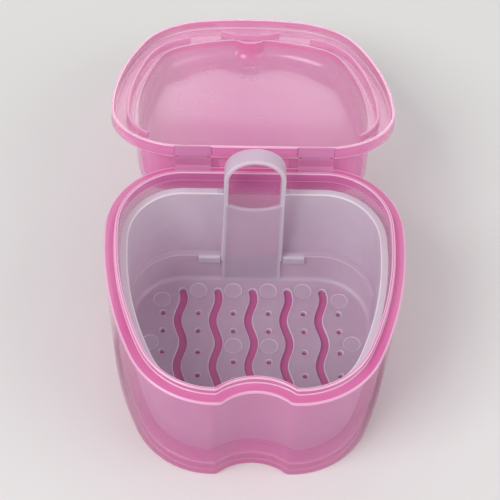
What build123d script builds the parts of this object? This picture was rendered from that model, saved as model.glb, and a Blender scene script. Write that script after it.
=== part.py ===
"""Denture case: a lidded cup with a lift-out strainer basket and two strap hinges.

Frame: millimetres, +Z up, X to the right, -Y to the front (the finger notch),
+Y to the back (the hinges). The origin is the middle of the resting face.
The lid is drawn closed and then swung open about the hinge line.
"""
from build123d import *
from math import cos, hypot, pi, radians, sin, sqrt, tan
import os

# ------------------------------------------------------------- plan of the cup
WIDTH = 95.0  # across the mouth, the widest part
BACK_Y = 44.3  # straight back edge of the mouth
CORNER_R = 25.0  # back corners
SIDE_R = 105.0  # gently bowed sides
LOBE_R = 28.2  # the two rounded lobes of the front
LOBE_X = 12.5
LOBE_FRONT_Y = -44.0
NOTCH_R = 16.2  # finger notch between the lobes
NOTCH_Y = -39.95
CUSP_R = 3.0  # rounding where notch and lobe meet
LID_FRONT_Y = -45.1  # the lid bows out over the notch instead

# ------------------------------------------------------------------------- cup
SHOULDER_Z = 48.0
SHOULDER_T = 1.4
SHOULDER_R = 0.7
CUP_WALL = 1.5
CUP_DRAFT = 1.6  # degrees
CUP_BACK_LEAN = 17.0  # degrees, the back wall runs in towards the foot
CUP_FLOOR_Z = 5.6  # inside floor, raised above the hollow foot
CUP_FLOOR_T = 1.4
CUP_FLOOR_R = 1.0
FOOT_RING_T = 2.0
FOOT_R = 1.2
LIP_INSET = 3.5  # edge of the mouth to the outer face of the lip
LIP_T = 1.1
LIP_H = 2.3
LIP_CHAMFER = 0.5

# ------------------------------------------------------------------------- lid
LID_GAP = 0.2  # under the closed skirt
SKIRT_H = 4.6
SKIRT_T = 1.2
SKIRT_R = 0.7
SKIRT_CHAMFER = 0.3
LID_WALL = 1.3

DOME_WIDTH = 77.0
DOME_BACK_Y = 41.3
DOME_CORNER_R = 11.0
DOME_SIDE_R = 100.0
DOME_LOBE_R = 16.8
DOME_LOBE_X = 17.5
DOME_LOBE_FRONT_Y = -32.1
DOME_FRONT_Y = -36.3
DOME_DRAFT = 2.6  # degrees
DOME_FRONT_H = 6.3  # above the flange, at the front of the dome
DOME_SLOPE = 8.0  # degrees, the top rises towards the hinges
DOME_EDGE_R = 4.5
GROOVE_Y = -33.8  # finger groove down the front of the dome
GROOVE_R = 5.0
GROOVE_EDGE_R = 2.5
POCKET_W = 23.0  # bulge at the back that makes room for the basket's handle
POCKET_Y = 43.0
GATE_Y = -25.0  # moulding mark inside the dome
GATE_D = 6.5
GATE_DEPTH = 0.25

PLUG_GAP = 0.4  # from the lip to the ribs that drop inside it
PLUG_T = 1.1
PLUG_H = 2.2
PLUG_LOBE_R = 24.6
PLUG_LOBE_X = 13.6
PLUG_LOBE_FRONT_Y = -34.1
PLUG_FROM_X = 21.7  # front ends of the two long ribs
PLUG_TO_Y = 35.0  # and their back ends
CRESCENT_X = 10.1  # half width of the short rib behind the notch
BEAD_R = 0.4  # snap beads inside the skirt's front
BEAD_Z = 49.6
BEAD_X = (12.3, 25.0)

# ---------------------------------------------------------------- strap hinges
HINGE_X = 19.9  # middle of each strap, left and right
LEAF_W = 11.7
LEAF_T = 0.7
LEAF_GAP = 0.3  # between the two leaves of a strap when the lid is closed
LEAF_R = 0.6
LEAF_FIT = 0.05  # room round a leaf in its recess
FOOT_REACH = 2.0  # the cup leaf's foot, in over the shoulder
FOOT_T = 0.8
FILM_W = 9.1
FILM_T = 0.35
FILM_FREE = 0.6  # hinge line to the ends of the leaves
PIVOT_DROP = 0.4  # hinge line below the top of the lid's flange
OPEN_ANGLE = 199.5

# ---------------------------------------------------------------------- basket
BASKET_WALL = 1.3
BASKET_FLOOR_T = 1.4
BASKET_STAND = 0.2  # under the floor
BASKET_DRAFT = 0.8  # degrees
BASKET_CUSP_R = 2.2
RIM_Z = 43.0
RIM_T = 1.3
RIM_GAP = 0.4  # rim to lip
RIM_W = 2.4
RIM_R = 0.4
LEDGE_Z = 18.5  # step across the back wall
LEDGE_W = 2.3
BACK_LEAN_HIGH = 12.0  # degrees, above the step
BACK_LEAN_LOW = 6.5  # degrees, below it
BASKET_FLOOR_R = 1.2
BLOCK_FROM_X = 10.5  # blocks under the step, beside the handle
BLOCK_TO_X = 17.7
BLOCK_H = 3.3
BLOCK_PROUD = 0.9

HANDLE_W = 19.7
HANDLE_FOOT_W = 20.9
HANDLE_TOP_Z = 66.4
HANDLE_T = 1.45
HANDLE_FOOT_Y = 27.8  # front face of the handle at the floor
HANDLE_TOP_Y = 31.7  # and at its crown
HANDLE_BACK_Y = 37.2
WINDOW_Z = 43.0  # lowest point of the window under the arch
WINDOW_RISE = 2.7
FLARE_R = 2.0  # where the legs spread into the rim

SLOT_PITCH = 11.75
SLOT_COUNT = 5
SLOT_W = 2.6
SLOT_SWAY = 1.0
SLOT_WAVE = 17.7
SLOT_CREST_Y = 20.0
SLOT_BACK_Y = 22.5
SLOT_FRONT_Y = -24.5
HOLE_D = 1.8
HOLE_ROWS = (  # rows of each column between the slots, from the middle outwards
    (13.9, 6.9, -5.0, -12.0, -19.0),
    (13.9, 6.9, -1.3, -10.2, -18.0),
    (13.9, 6.9, -1.3, -10.2),
)
EJECTOR_D = 5.8
EJECTOR_DEPTH = 0.15
EJECTORS = ((5.9, 23.0), (17.6, 23.0), (29.8, 19.2), (5.9, 1.1), (33.4, 2.2))

# --------------------------------------------------------------- worked values
FLANGE_Z = SHOULDER_Z + SKIRT_H
PIVOT_Y = BACK_Y + LEAF_GAP / 2
PIVOT_Z = FLANGE_Z - PIVOT_DROP
LEAF_TOP = PIVOT_Z - FILM_FREE
LIP_INNER = LIP_INSET + LIP_T
PLUG_INSET = LIP_INNER + PLUG_GAP
RIM_INSET = LIP_INNER + RIM_GAP
CAVITY_INSET = RIM_INSET + RIM_W
STAND_Z = CUP_FLOOR_Z + BASKET_STAND
BASKET_FLOOR_Z = STAND_Z + BASKET_FLOOR_T
SMALL_R = 1.3  # least rounding of an inset corner
FAR = 2 * WIDTH  # longer than anything it cuts

MOUTH = dict(half=WIDTH / 2, back=BACK_Y, corner=CORNER_R, side=SIDE_R, lobe=LOBE_R,
             lobe_x=LOBE_X, lobe_y=LOBE_FRONT_Y, bow_y=None,
             notch=(NOTCH_Y, NOTCH_R), cusp=CUSP_R)
SKIRT = dict(MOUTH, bow_y=LID_FRONT_Y, notch=None)
DOME = dict(half=DOME_WIDTH / 2, back=DOME_BACK_Y, corner=DOME_CORNER_R,
            side=DOME_SIDE_R, lobe=DOME_LOBE_R, lobe_x=DOME_LOBE_X,
            lobe_y=DOME_LOBE_FRONT_Y, bow_y=DOME_FRONT_Y, notch=None, cusp=0)
PLUG = dict(MOUTH, half=WIDTH / 2 - PLUG_INSET, back=BACK_Y - PLUG_INSET,
            corner=CORNER_R - PLUG_INSET, lobe=PLUG_LOBE_R, lobe_x=PLUG_LOBE_X,
            lobe_y=PLUG_LOBE_FRONT_Y, bow_y=PLUG_LOBE_FRONT_Y - 0.5, notch=None)
BASKET = dict(MOUTH, cusp=CAVITY_INSET + BASKET_CUSP_R)


# ------------------------------------------------------------------- geometry
def crossings(a, ra, b, rb):
    """The two points where a pair of circles cross, the one with least x first."""
    dx, dy = b[0] - a[0], b[1] - a[1]
    d = hypot(dx, dy)
    t = (d * d + ra * ra - rb * rb) / (2 * d)
    h = sqrt(ra * ra - t * t)
    mid = (a[0] + dx * t / d, a[1] + dy * t / d)
    return sorted([(mid[0] - dy * h / d, mid[1] + dx * h / d),
                   (mid[0] + dy * h / d, mid[1] - dx * h / d)])


def towards(a, b, r):
    """The point at distance r from a on the line through b."""
    d = hypot(b[0] - a[0], b[1] - a[1])
    return a[0] + (b[0] - a[0]) * r / d, a[1] + (b[1] - a[1]) * r / d


def outline(shape, z, inset=0.0, shift=0.0):
    """One of the case's outlines: a straight back, round corners, bowed sides and
    round lobes, closed by a bow, a notch or both. Every arc keeps its centre when
    the outline is inset. Shift moves the back edge forward, and its corners follow
    along the same sides."""
    lobe = (shape["lobe_x"], shape["lobe_y"] + shape["lobe"])
    corner = (shape["half"] - shape["corner"], shape["back"] - shape["corner"])
    swing_r = shape["side"] - shape["corner"]
    side = crossings(corner, swing_r, lobe, shape["side"] - shape["lobe"])[0]
    corner = (side[0] + sqrt(swing_r ** 2 - (corner[1] - shift - side[1]) ** 2), corner[1] - shift)
    points = [(corner[0], corner[1] + shape["corner"] - inset),
              towards(side, corner, shape["side"] - inset),
              towards(side, lobe, shape["side"] - inset)]
    centres = [corner, side, lobe]
    front, front_r = lobe, shape["lobe"] - inset
    if shape["bow_y"] is not None:
        k = shape["bow_y"] + shape["lobe"]
        front = (0.0, (k * k - lobe[1] ** 2 - lobe[0] ** 2) / (2 * (k - lobe[1])))
        front_r = front[1] - shape["bow_y"] - inset
        points.append(towards(front, lobe, front_r))
        centres.append(front)
    if shape["notch"] is not None:
        notch_r = shape["notch"][1] + inset
        notch = (0.0, shape["notch"][0] - shape["notch"][1])
        cusp_r = max(shape["cusp"] - inset, SMALL_R)
        cusp = crossings(front, front_r - cusp_r, notch, notch_r + cusp_r)[1]
        points += [towards(front, cusp, front_r), towards(notch, cusp, notch_r)]
        centres += [cusp, notch]
    left = [(-x, y) for x, y in points]
    edges = [Line(points[0], left[0])]
    edges += [bend((-c[0], c[1]), p, q) for c, p, q in zip(centres, left, left[1:])]
    edges.append(bend(centres[-1], left[-1], points[-1]))
    edges += [bend(c, q, p) for c, p, q in zip(centres, points, points[1:])][::-1]
    return Pos(0, 0, z) * Face(Wire(edges))


def bend(centre, p, q):
    """The shorter arc from p to q about a centre."""
    mid = ((p[0] + q[0]) / 2, (p[1] + q[1]) / 2)
    return ThreePointArc(p, towards(centre, mid, hypot(p[0] - centre[0], p[1] - centre[1])), q)


def drafted(shape, low, high):
    """A solid between two outlines, each given as height, inset and shift."""
    return loft([outline(shape, *low), outline(shape, *high)], ruled=True)


def upright(shape, z0, z1, inset=0.0, shift=0.0):
    return extrude(outline(shape, z0, inset, shift), z1 - z0, dir=(0, 0, 1))


def block(x0, x1, y0, y1, z0, z1):
    return Pos((x0 + x1) / 2, (y0 + y1) / 2, (z0 + z1) / 2) * Box(x1 - x0, y1 - y0, z1 - z0)


def both_sides(solid):
    return solid + mirror(solid, about=Plane.YZ)


def side_profile(points, x0, x1):
    """A polygon in the side view (y, z), carried from x0 to x1."""
    face = Plane.YZ * make_face(Polyline(*points, close=True))
    return extrude(Pos(x0, 0, 0) * face, x1 - x0, dir=(1, 0, 0))


def edges_at(solid, z, tolerance=0.01):
    """Edges that lie wholly at one height."""
    return solid.edges().filter_by(
        lambda e: abs(e.bounding_box().min.Z - z) < tolerance
        and abs(e.bounding_box().max.Z - z) < tolerance)


# ------------------------------------------------------------------------ cup
def cup_section(z, inset):
    """Height, inset and shift of the cup's wall at a height."""
    fall = SHOULDER_Z - z
    drawn = fall * tan(radians(CUP_DRAFT))
    return z, inset + drawn, fall * tan(radians(CUP_BACK_LEAN)) - drawn


def make_cup():
    body = drafted(MOUTH, cup_section(0, 0), cup_section(SHOULDER_Z, 0))
    body = fillet(edges_at(body, SHOULDER_Z), SHOULDER_R)
    body = fillet(edges_at(body, 0), FOOT_R)
    lip = upright(MOUTH, SHOULDER_Z - SHOULDER_T / 2, SHOULDER_Z + LIP_H, LIP_INSET)
    body += chamfer(edges_at(lip, SHOULDER_Z + LIP_H), LIP_CHAMFER)
    inside = drafted(MOUTH, cup_section(CUP_FLOOR_Z, CUP_WALL),
                     cup_section(SHOULDER_Z - SHOULDER_T, CUP_WALL))
    body -= fillet(edges_at(inside, CUP_FLOOR_Z), CUP_FLOOR_R)
    body -= upright(MOUTH, SHOULDER_Z - 2 * SHOULDER_T, SHOULDER_Z + 2 * LIP_H, LIP_INNER)
    z, inset, shift = cup_section(0, FOOT_RING_T)
    body -= upright(MOUTH, -1, CUP_FLOOR_Z - CUP_FLOOR_T, inset, shift)
    seat = LEAF_W / 2 + LEAF_FIT
    body -= both_sides(block(HINGE_X - seat, HINGE_X + seat, BACK_Y - FOOT_REACH - LEAF_FIT,
                             BACK_Y + 1, SHOULDER_Z - FOOT_T, SHOULDER_Z + 1))
    return body


# ------------------------------------------------------------------------ lid
def dome_section(z, inset):
    return z, inset + (z - FLANGE_Z) * tan(radians(DOME_DRAFT))


def dome_solid(inset, edge_r):
    """The dome as a solid, its sloping top rounded, with the finger groove down
    the front and the handle pocket at the back."""
    low, high = FLANGE_Z - LID_WALL, FLANGE_Z + WIDTH / 4
    slope = radians(DOME_SLOPE)
    above = Plane(origin=(0, DOME_FRONT_Y, FLANGE_Z + DOME_FRONT_H - inset / cos(slope)),
                  x_dir=(1, 0, 0), z_dir=(0, -sin(slope), cos(slope)))
    cutter = extrude(above * Rectangle(FAR, 2 * FAR), FAR)

    def rounded(solid, all_round):
        solid -= cutter
        top = [f for f in solid.faces() if abs(f.normal_at().dot(above.z_dir) - 1) < 1e-4][0]
        return fillet(top.edges() if all_round else top.edges().sort_by(Axis.Y)[-1], edge_r)

    dome = rounded(drafted(DOME, dome_section(low, inset), dome_section(high, inset)), True)
    dome -= loft([Pos(0, GROOVE_Y - GROOVE_R, z) * Circle(GROOVE_R + grown)
                  for z, grown in (dome_section(low, inset), dome_section(high, inset))], ruled=True)
    beside = [e for e in dome.edges() if abs(e.center().X) < GROOVE_R + GROOVE_EDGE_R
              and e.center().Y < 0 and e.bounding_box().size.Z > DOME_FRONT_H / 2]
    dome = fillet(beside, GROOVE_EDGE_R - inset)
    pocket = []
    for z, grown in (dome_section(low, inset), dome_section(high, inset)):
        half, y1 = POCKET_W / 2 - grown, POCKET_Y - grown
        pocket.append(Pos(0, (y1 + HANDLE_TOP_Y) / 2, z) * Rectangle(2 * half, y1 - HANDLE_TOP_Y))
    return dome + rounded(loft(pocket, ruled=True), False)


def plug_ribs():
    """The long ribs inside the lip at the sides, and the short one behind the notch."""
    low, high = FLANGE_Z - LID_WALL - PLUG_H, FLANGE_Z - LID_WALL / 2
    ring = upright(PLUG, low, high) - upright(PLUG, low, high, PLUG_T)
    ribs = ring & both_sides(block(PLUG_FROM_X, FAR, -FAR, PLUG_TO_Y, low, high))
    centre = Pos(0, NOTCH_Y - NOTCH_R, low)
    near = NOTCH_R + PLUG_INSET
    arc = (extrude(centre * Circle(near + PLUG_T), high - low)
           - extrude(centre * Circle(near), high - low))
    return ribs + (arc & block(-CRESCENT_X, CRESCENT_X, NOTCH_Y, 0, low, high))


def snap_beads():
    """Thin rounded ridges on the inner face of the skirt's front."""
    ridge = (upright(SKIRT, BEAD_Z - BEAD_R, BEAD_Z + BEAD_R, SKIRT_T - BEAD_R)
             - upright(SKIRT, BEAD_Z - BEAD_R, BEAD_Z + BEAD_R, SKIRT_T + BEAD_R))
    return ridge & both_sides(block(BEAD_X[0], BEAD_X[1], -FAR, 0, 0, FAR))


def make_lid():
    under = FLANGE_Z - LID_WALL
    bottom = SHOULDER_Z + LID_GAP
    lid = upright(SKIRT, bottom, FLANGE_Z)
    lid = fillet(edges_at(lid, FLANGE_Z), SKIRT_R)
    lid -= upright(SKIRT, bottom - 1, under, SKIRT_T)
    lid -= drafted(SKIRT, (bottom, SKIRT_T - SKIRT_CHAMFER), (bottom + SKIRT_CHAMFER, SKIRT_T))
    lid += dome_solid(0.0, DOME_EDGE_R)
    lid -= dome_solid(LID_WALL, DOME_EDGE_R - LID_WALL)
    lid += plug_ribs()
    lid += snap_beads()
    seat, seat_y = LEAF_W / 2 + LEAF_FIT, BACK_Y - LEAF_T
    lid -= both_sides(side_profile(
        [(seat_y, 0), (seat_y, FLANGE_Z - SKIRT_R), (seat_y - SKIRT_R - 1, FLANGE_Z + 1),
         (BACK_Y + 1, FLANGE_Z + 1), (BACK_Y + 1, 0)], HINGE_X - seat, HINGE_X + seat))
    slope = radians(DOME_SLOPE)
    ceiling = FLANGE_Z + DOME_FRONT_H + (GATE_Y - DOME_FRONT_Y) * tan(slope) - LID_WALL / cos(slope)
    mark = Pos(0, GATE_Y, ceiling) * Rot(DOME_SLOPE, 0, 0) * Cylinder(GATE_D / 2, 2 * GATE_DEPTH)
    return lid - mark


# -------------------------------------------------------------- strap hinges
def swing(solid):
    """Carry a closed lid piece round to its open rest."""
    return solid.rotate(Axis((0, PIVOT_Y, PIVOT_Z), (1, 0, 0)), -OPEN_ANGLE)


def swing_point(y, z):
    a = radians(OPEN_ANGLE)
    dy, dz = y - PIVOT_Y, z - PIVOT_Z
    return PIVOT_Y + cos(a) * dy + sin(a) * dz, PIVOT_Z - sin(a) * dy + cos(a) * dz


def soften(leaf, z):
    """Round a leaf's corners in the front view at one height."""
    return fillet(leaf.edges().filter_by(Axis.Y).filter_by(
        lambda e: abs(e.center().Z - z) < 0.01), LEAF_R)


def make_cup_leaf(x):
    """An L: a foot let into the shoulder and a tab that stands behind the skirt."""
    inner, outer = BACK_Y + LEAF_GAP, BACK_Y + LEAF_GAP + LEAF_T
    foot = SHOULDER_Z - FOOT_T
    return side_profile([(BACK_Y - FOOT_REACH, foot), (outer, foot), (outer, LEAF_TOP),
                         (inner, LEAF_TOP), (inner, SHOULDER_Z), (BACK_Y - FOOT_REACH, SHOULDER_Z)],
                        x - LEAF_W / 2, x + LEAF_W / 2)


def make_lid_leaf(x):
    """A plate let into the outer face of the skirt."""
    low = SHOULDER_Z + LID_GAP
    leaf = block(x - LEAF_W / 2, x + LEAF_W / 2, BACK_Y - LEAF_T, BACK_Y, low, LEAF_TOP)
    return swing(soften(leaf, low))


def make_film(x):
    """The thin web between the ends of the two leaves."""
    inner = BACK_Y + LEAF_GAP
    return side_profile([(inner, LEAF_TOP), (inner + FILM_T, LEAF_TOP),
                         swing_point(BACK_Y - FILM_T, LEAF_TOP), swing_point(BACK_Y, LEAF_TOP)],
                        x - FILM_W / 2, x + FILM_W / 2)


# --------------------------------------------------------------------- basket
def basket_section(z, inset, below=False):
    """Height, inset and shift of the basket's wall, above or below the step."""
    drawn = (RIM_Z - z) * tan(radians(BASKET_DRAFT))
    shift = (RIM_Z - max(z, LEDGE_Z)) * tan(radians(BACK_LEAN_HIGH))
    if below:
        shift = ((RIM_Z - LEDGE_Z) * tan(radians(BACK_LEAN_HIGH)) + LEDGE_W
                 + (LEDGE_Z - z) * tan(radians(BACK_LEAN_LOW)))
    return z, inset + drawn, shift - drawn


def handle_outline(width, foot_width, top):
    """The handle in the front view: legs that spread to the foot and a half-round
    arch."""
    half, foot = width / 2, foot_width / 2
    spring = top - half
    edges = [Line((-foot, STAND_Z), (foot, STAND_Z)), Line((foot, STAND_Z), (half, RIM_Z)),
             Line((half, RIM_Z), (half, spring)),
             ThreePointArc((half, spring), (0, top), (-half, spring)),
             Line((-half, spring), (-half, RIM_Z)), Line((-half, RIM_Z), (-foot, STAND_Z))]
    return extrude(Plane.XZ * make_face(edges), FAR, both=True)


def handle_front_y(z, depth=0.0):
    lean = (HANDLE_TOP_Y - HANDLE_FOOT_Y) / (HANDLE_TOP_Z - STAND_Z)
    return HANDLE_FOOT_Y + (z - STAND_Z) * lean + depth


def handle_hollow():
    """The space between the legs and under the arch."""
    return handle_outline(HANDLE_W - 2 * HANDLE_T, HANDLE_FOOT_W - 2 * HANDLE_T,
                          HANDLE_TOP_Z - HANDLE_T)


def handle_channel():
    """The hollow behind the handle's plate, open at the back from the step upwards."""
    low = LEDGE_Z - BASKET_WALL
    return handle_hollow() & side_profile(
        [(handle_front_y(low, HANDLE_T), low), (handle_front_y(HANDLE_TOP_Z, HANDLE_T), HANDLE_TOP_Z),
         (FAR, HANDLE_TOP_Z), (FAR, low)], -FAR, FAR)


def make_handle():
    """A channel up the back wall that becomes a loop above the rim. Its legs flare
    into the rim, behind and at the sides."""

    def wall_y(z, below=False):
        z, inset, shift = basket_section(z, CAVITY_INSET, below)
        return BACK_Y - inset - shift + BASKET_WALL / 2

    rim_y = BACK_Y - RIM_INSET - RIM_R
    handle = handle_outline(HANDLE_W, HANDLE_FOOT_W, HANDLE_TOP_Z) & side_profile(
        [(handle_front_y(STAND_Z), STAND_Z), (handle_front_y(HANDLE_TOP_Z), HANDLE_TOP_Z),
         (HANDLE_BACK_Y, HANDLE_TOP_Z), (HANDLE_BACK_Y, RIM_Z + FLARE_R),
         (rim_y, RIM_Z), (rim_y, RIM_Z - RIM_T / 2), (HANDLE_BACK_Y, RIM_Z - RIM_T),
         (wall_y(LEDGE_Z), LEDGE_Z),
         (wall_y(LEDGE_Z, True), LEDGE_Z - BASKET_WALL / 2), (wall_y(STAND_Z, True), STAND_Z)],
        -FAR, FAR)
    half, r = HANDLE_W / 2, FLARE_R
    flare = make_face([
        Line((half - HANDLE_T / 2, RIM_Z - RIM_T / 2), (half + r, RIM_Z - RIM_T / 2)),
        Line((half + r, RIM_Z - RIM_T / 2), (half + r, RIM_Z)),
        ThreePointArc((half + r, RIM_Z), (half + r * (1 - sqrt(0.5)), RIM_Z + r * (1 - sqrt(0.5))),
                      (half, RIM_Z + r)),
        Line((half, RIM_Z + r), (half - HANDLE_T / 2, RIM_Z + r)),
        Line((half - HANDLE_T / 2, RIM_Z + r), (half - HANDLE_T / 2, RIM_Z - RIM_T / 2))])
    handle += both_sides(extrude(Plane.XZ * flare, FAR, both=True) & side_profile(
        [(rim_y - RIM_W + 2 * RIM_R, RIM_Z - RIM_T / 2), (rim_y, RIM_Z - RIM_T / 2), (rim_y, RIM_Z),
         (HANDLE_BACK_Y, RIM_Z + r), (HANDLE_BACK_Y - 1, RIM_Z + r), (rim_y - RIM_W + 2 * RIM_R, RIM_Z)],
        -FAR, FAR))
    half -= HANDLE_T
    sill = [ThreePointArc((-half, WINDOW_Z + WINDOW_RISE), (0, WINDOW_Z),
                          (half, WINDOW_Z + WINDOW_RISE)),
            Line((half, WINDOW_Z + WINDOW_RISE), (half, FAR)), Line((half, FAR), (-half, FAR)),
            Line((-half, FAR), (-half, WINDOW_Z + WINDOW_RISE))]
    return handle - (handle_hollow() & extrude(Plane.XZ * make_face(sill), FAR, both=True))


def wavy_slot(x):
    """A slot through the floor whose centre line sways from side to side."""
    half = SLOT_WAVE / 2
    ends = [SLOT_BACK_Y]
    while ends[-1] > SLOT_FRONT_Y:
        ends.append(max(SLOT_CREST_Y - half * (len(ends) - 0.5), SLOT_FRONT_Y))

    def sway(y):
        return x + SLOT_SWAY * cos(pi * (y - SLOT_CREST_Y) / half)

    line = [ThreePointArc((sway(a), a), (sway((a + b) / 2), (a + b) / 2), (sway(b), b))
            for a, b in zip(ends, ends[1:])]
    stroke = trace(Wire(line), SLOT_W)
    stroke += Pos(sway(SLOT_BACK_Y), SLOT_BACK_Y) * Circle(SLOT_W / 2)
    stroke += Pos(sway(SLOT_FRONT_Y), SLOT_FRONT_Y) * Circle(SLOT_W / 2)
    return extrude(Pos(0, 0, STAND_Z - 1) * stroke, BASKET_FLOOR_T + 2)


def make_basket():
    step = LEDGE_Z - BASKET_WALL
    outside = drafted(BASKET, basket_section(step, CAVITY_INSET - BASKET_WALL),
                      basket_section(RIM_Z - RIM_T / 2, CAVITY_INSET - BASKET_WALL))
    low = drafted(BASKET, basket_section(STAND_Z, CAVITY_INSET - BASKET_WALL, True),
                  basket_section(step, CAVITY_INSET - BASKET_WALL, True))
    outside += fillet(edges_at(low, STAND_Z), BASKET_FLOOR_R + 0.5)
    rim = upright(MOUTH, RIM_Z - RIM_T, RIM_Z, RIM_INSET)
    outside += fillet(edges_at(rim, RIM_Z), RIM_R)

    cavity = drafted(BASKET, basket_section(LEDGE_Z, CAVITY_INSET),
                     basket_section(RIM_Z + RIM_T, CAVITY_INSET))
    low = drafted(BASKET, basket_section(BASKET_FLOOR_Z, CAVITY_INSET, True),
                  basket_section(LEDGE_Z, CAVITY_INSET, True))
    cavity += fillet(edges_at(low, BASKET_FLOOR_Z), BASKET_FLOOR_R)
    basket = outside - cavity

    z, inset, shift = basket_section(LEDGE_Z, CAVITY_INSET, True)
    ledge_y = BACK_Y - inset - shift
    basket += both_sides(side_profile(
        [(ledge_y - BLOCK_PROUD, LEDGE_Z), (ledge_y + BASKET_WALL / 2, LEDGE_Z),
         (ledge_y + BASKET_WALL / 2 - 0.4, LEDGE_Z - BLOCK_H), (ledge_y - BLOCK_PROUD, LEDGE_Z - BLOCK_H)],
        BLOCK_FROM_X, BLOCK_TO_X))
    basket += make_handle()
    basket -= handle_channel()

    for i in range(SLOT_COUNT):
        basket -= wavy_slot((i - SLOT_COUNT // 2) * SLOT_PITCH)
    holes = [Pos(s * (c + 0.5) * SLOT_PITCH, y, BASKET_FLOOR_Z) * Cylinder(HOLE_D / 2, 4)
             for c, rows in enumerate(HOLE_ROWS) for y in rows for s in (-1, 1)]
    marks = [Pos(s * x, y, BASKET_FLOOR_Z) * Cylinder(EJECTOR_D / 2, 2 * EJECTOR_DEPTH)
             for x, y in EJECTORS for s in (-1, 1)]
    return basket - holes - marks


# --------------------------------------------------------------------- pieces
def make_pieces():
    pieces = {"cup": make_cup(), "lid": swing(make_lid()), "strainer_basket": make_basket()}
    for side, x in (("left", -HINGE_X), ("right", HINGE_X)):
        pieces[side + "_hinge_cup_leaf"] = make_cup_leaf(x)
        pieces[side + "_hinge_film"] = make_film(x)
        pieces[side + "_hinge_lid_leaf"] = make_lid_leaf(x)
    return pieces


os.makedirs("parts", exist_ok=True)
for name, piece in make_pieces().items():
    export_step(piece, f"parts/{name}.step")
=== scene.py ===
"""Dresses the denture case: glossy translucent pink cup and lid, a natural white
strainer basket and two pale strap hinges. Every piece is a surface worked out
with numpy, in metres, at rest with the lid open."""

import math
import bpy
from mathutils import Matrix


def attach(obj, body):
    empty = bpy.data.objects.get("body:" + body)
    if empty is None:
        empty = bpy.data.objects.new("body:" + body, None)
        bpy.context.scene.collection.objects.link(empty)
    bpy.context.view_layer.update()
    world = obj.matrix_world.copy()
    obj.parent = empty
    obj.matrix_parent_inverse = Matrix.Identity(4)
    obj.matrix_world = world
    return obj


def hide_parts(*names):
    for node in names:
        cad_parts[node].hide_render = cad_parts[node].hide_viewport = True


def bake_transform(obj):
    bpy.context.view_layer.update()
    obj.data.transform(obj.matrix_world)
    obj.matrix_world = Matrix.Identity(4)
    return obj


bl_info = {
    "name": "Denture case dressing",
    "version": (1, 0, 0),
    "blender": (4, 5, 0),
    "location": "View3D > Sidebar > Denture Case",
    "description": "Builds the visible pieces, finishes and stage of a denture case",
    "category": "Object",
}

import bpy
import numpy as np
from mathutils import Matrix, Vector

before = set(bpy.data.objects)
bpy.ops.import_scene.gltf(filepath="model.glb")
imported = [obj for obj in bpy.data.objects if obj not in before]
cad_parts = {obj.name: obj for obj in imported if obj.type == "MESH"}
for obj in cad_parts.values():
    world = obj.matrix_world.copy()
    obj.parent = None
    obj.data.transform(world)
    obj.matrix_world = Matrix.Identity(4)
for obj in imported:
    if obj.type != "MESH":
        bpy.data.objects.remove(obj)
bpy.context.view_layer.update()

MM = 0.001
COLUMNS = 640  # points round each outline
HAIR = 0.012  # how far each outline is drawn in, so that no point lies outside the part

# Sizes in millimetres and degrees, named as in the part's source.
BACK_Y, NOTCH_R, NOTCH_Y = 44.3, 16.2, -39.95

SHOULDER_Z, SHOULDER_T, SHOULDER_R = 48.0, 1.4, 0.7
CUP_WALL, CUP_DRAFT, CUP_BACK_LEAN = 1.5, 1.6, 17.0
CUP_FLOOR_Z, CUP_FLOOR_T, FOOT_RING_T, FOOT_R = 5.6, 1.4, 2.0, 1.2
LIP_INSET, LIP_T, LIP_H, LIP_CHAMFER = 3.5, 1.1, 2.3, 0.5
LIP_INNER, LIP_TOP = LIP_INSET + LIP_T, SHOULDER_Z + LIP_H

LID_WALL, SKIRT_H, SKIRT_T, SKIRT_R = 1.3, 4.6, 1.2, 0.7
FLANGE_Z = SHOULDER_Z + SKIRT_H
FLANGE_UNDER, SKIRT_LOW = FLANGE_Z - LID_WALL, SHOULDER_Z + 0.2
DOME_FRONT_Y, DOME_FRONT_H, DOME_SLOPE, DOME_DRAFT, DOME_EDGE_R = -36.3, 6.3, 8.0, 2.6, 4.5
POCKET_W, POCKET_Y, GATE_Y, GATE_D, GATE_DEPTH = 23.0, 43.0, -25.0, 6.5, 0.25
PLUG_GAP, PLUG_T, PLUG_H, PLUG_FROM_X, PLUG_TO_Y = 0.4, 1.1, 2.2, 21.7, 35.0
CRESCENT_X, BEAD_Z, BEAD_X = 10.1, 49.6, (12.3, 25.0)

HINGE_X, LEAF_W, LEAF_T, LEAF_GAP, LEAF_FIT = 19.9, 11.7, 0.7, 0.3, 0.05
FOOT_REACH, FOOT_T, FILM_W, FILM_T, FILM_FREE = 2.0, 0.8, 9.1, 0.35, 0.6
PIVOT, OPEN_ANGLE = (BACK_Y + LEAF_GAP / 2, FLANGE_Z - 0.4), 199.5
LEAF_TOP = PIVOT[1] - FILM_FREE
LEAF_LOW, LEAF_INNER = SHOULDER_Z - FOOT_T, BACK_Y + LEAF_GAP

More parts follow.
